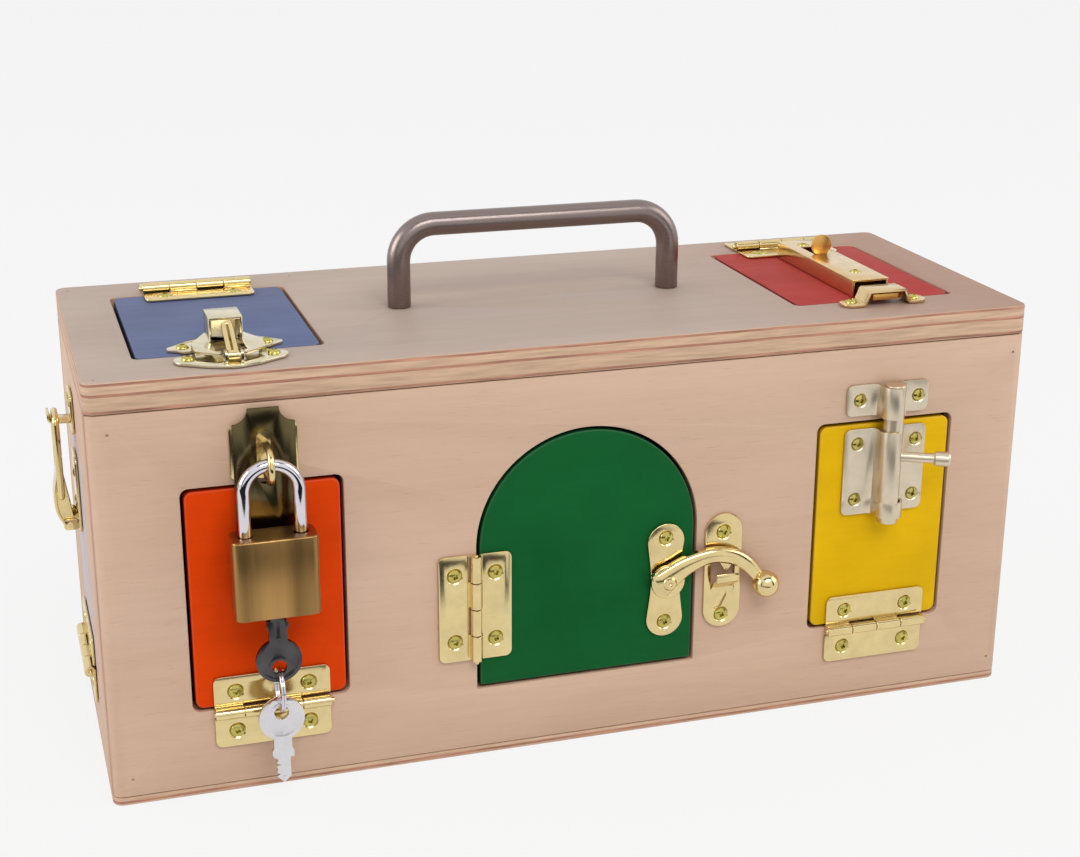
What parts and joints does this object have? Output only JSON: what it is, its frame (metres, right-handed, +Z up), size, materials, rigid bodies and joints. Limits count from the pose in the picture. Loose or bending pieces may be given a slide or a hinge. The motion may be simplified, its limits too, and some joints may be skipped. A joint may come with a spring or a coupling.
{
  "type": "wooden latch box",
  "caption": "Plywood busy box with small painted doors, each on a brass hinge and held shut by a different latch, and a bent steel carrying handle on top.",
  "frame": {"origin": "centre of the box's underside, on the surface it stands on", "axes": "+X along the box towards the yellow door, -Y out of the front, +Z up"},
  "size_m": [0.3699, 0.1567, 0.1962],
  "materials": {
    "birch": "clear sanded birch plywood",
    "orange_paint": "orange satin paint on plywood",
    "green_paint": "green satin paint on plywood",
    "yellow_paint": "yellow satin paint on plywood",
    "blue_paint": "blue satin paint on plywood",
    "red_paint": "red satin paint on plywood",
    "brass": "polished brass plate",
    "nickel_brass": "pale satin brass plate",
    "lock_brass": "fine brushed brass",
    "chrome": "mirror chrome",
    "steel": "brushed stainless steel",
    "nickel": "bright nickel",
    "dark_nickel": "dark nickel"
  },
  "bodies": {
    "box": {"top_panel": "birch", "bottom_panel": "birch", "front_panel": "birch", "back_panel": "birch", "left_side_panel": "birch", "right_side_panel": "birch", "carry_handle": "steel", "handle_screw_left": "nickel", "handle_screw_right": "nickel", "orange_hinge_frame_leaf": "brass", "orange_hinge_pin": "brass", "green_hinge_frame_leaf": "brass", "green_hinge_pin": "brass", "yellow_hinge_frame_leaf": "brass", "yellow_hinge_pin": "brass", "blue_hinge_frame_leaf": "brass", "blue_hinge_pin": "brass", "red_hinge_frame_leaf": "brass", "red_hinge_pin": "brass", "left_hinge_frame_leaf": "brass", "left_hinge_pin": "brass", "hasp_staple": "brass", "hook_catch_plate": "brass", "bolt_keeper": "nickel_brass", "blue_latch_base": "brass", "red_bolt_keeper": "brass", "toggle_hook_plate": "brass"},
    "orange_door": {"orange_door": "orange_paint", "orange_hinge_door_leaf": "brass", "hasp_door_leaf": "brass", "hasp_pin": "brass"},
    "hasp_strap": {"hasp_strap": "brass"},
    "padlock_shackle": {"padlock_shackle": "chrome"},
    "padlock_body": {"padlock_body": "lock_brass"},
    "lock_key": {"padlock_plug": "brass", "lock_key": "dark_nickel"},
    "key_ring": {"key_ring": "chrome"},
    "spare_key": {"spare_key": "nickel"},
    "green_door": {"green_door": "green_paint", "green_hinge_door_leaf": "brass", "hook_pivot_plate": "brass"},
    "hook_arm": {"hook_arm": "brass"},
    "yellow_door": {"yellow_door": "yellow_paint", "yellow_hinge_door_leaf": "brass", "bolt_housing": "nickel_brass"},
    "bolt": {"bolt_rod": "nickel_brass", "bolt_knob": "nickel_brass"},
    "blue_door": {"blue_door": "blue_paint", "blue_hinge_door_leaf": "brass", "blue_latch_shield": "brass"},
    "blue_hook": {"blue_latch_hook": "brass"},
    "red_door": {"red_door": "red_paint", "red_hinge_door_leaf": "brass", "red_bolt_cover": "brass"},
    "red_slide": {"red_bolt_slide": "brass"},
    "left_door": {"left_door": "birch", "left_hinge_door_leaf": "brass", "toggle_base": "brass"},
    "toggle_lever": {"toggle_lever": "brass"},
    "toggle_loop": {"toggle_loop": "brass"}
  },
  "joints": [
    {"name": "orange_door_hinge", "type": "hinge", "parent": "box", "child": "orange_door", "pos_m": [-0.121, -0.0699, 0.0325], "axis": [1, 0, 0], "range_deg": [0, 90]},
    {"name": "hasp_hinge", "type": "hinge", "parent": "orange_door", "child": "hasp_strap", "pos_m": [-0.12, -0.0694, 0.098], "axis": [1, 0, 0], "range_deg": [0, 90]},
    {"name": "padlock_off", "type": "slide", "parent": "box", "child": "padlock_shackle", "axis": [0, -1, 0], "range_m": [0, 0.26]},
    {"name": "padlock_release", "type": "slide", "parent": "padlock_shackle", "child": "padlock_body", "axis": [0, 0, -1], "range_m": [0, 0.008]},
    {"name": "key_turn", "type": "hinge", "parent": "padlock_body", "child": "lock_key", "pos_m": [-0.12, -0.0806, 0.075], "axis": [0, 0, 1], "range_deg": [0, 90]},
    {"name": "key_ring_swing", "type": "hinge", "parent": "lock_key", "child": "key_ring", "pos_m": [-0.12, -0.0806, 0.05285], "axis": [-1, 0, 0], "range_deg": [0, 33.3]},
    {"name": "spare_key_slide", "type": "hinge", "parent": "key_ring", "child": "spare_key", "pos_m": [-0.12, -0.0806, 0.04495], "axis": [-1, 0, 0], "range_deg": [0, 90]},
    {"name": "green_door_hinge", "type": "hinge", "parent": "box", "child": "green_door", "pos_m": [-0.0444, -0.0699, 0.0615], "axis": [0, 0, -1], "range_deg": [0, 110]},
    {"name": "hook_swing", "type": "hinge", "parent": "green_door", "child": "hook_arm", "pos_m": [0.0308, -0.0675, 0.0635], "axis": [0, -1, 0], "range_deg": [0, 120]},
    {"name": "yellow_door_hinge", "type": "hinge", "parent": "box", "child": "yellow_door", "pos_m": [0.121, -0.0699, 0.0325], "axis": [1, 0, 0], "range_deg": [0, 95]},
    {"name": "bolt_slide", "type": "slide", "parent": "yellow_door", "child": "bolt", "axis": [0, 0, -1], "range_m": [0, 0.0155]},
    {"name": "blue_door_hinge", "type": "hinge", "parent": "box", "child": "blue_door", "pos_m": [-0.1265, 0.0468, 0.1624], "axis": [-1, 0, 0], "range_deg": [0, 110]},
    {"name": "blue_hook_swing", "type": "hinge", "parent": "box", "child": "blue_hook", "pos_m": [-0.1275, -0.059, 0.1634], "axis": [1, 0, 0], "range_deg": [0, 100]},
    {"name": "red_door_hinge", "type": "hinge", "parent": "box", "child": "red_door", "pos_m": [0.1265, 0.0468, 0.1624], "axis": [-1, 0, 0], "range_deg": [0, 110]},
    {"name": "red_bolt_slide", "type": "slide", "parent": "red_door", "child": "red_slide", "axis": [0, 1, 0], "range_m": [0, 0.0125]},
    {"name": "left_door_hinge", "type": "hinge", "parent": "box", "child": "left_door", "pos_m": [-0.1824, 0, 0.0325], "axis": [0, -1, 0], "range_deg": [0, 95]},
    {"name": "toggle_lever_swing", "type": "hinge", "parent": "left_door", "child": "toggle_lever", "pos_m": [-0.1846, 0, 0.0868], "axis": [0, -1, 0], "range_deg": [0, 120]},
    {"name": "toggle_loop_swing", "type": "hinge", "parent": "toggle_lever", "child": "toggle_loop", "pos_m": [-0.1868, 0, 0.0975], "axis": [0, -1, 0], "range_deg": [0, 50]}
  ],
  "couplings": [
    {"joint": "hasp_hinge", "follows": "orange_door_hinge", "ratio": 1},
    {"joint": "padlock_off", "follows": "orange_door_hinge", "m_per_rad": 0.1655}
  ]
}
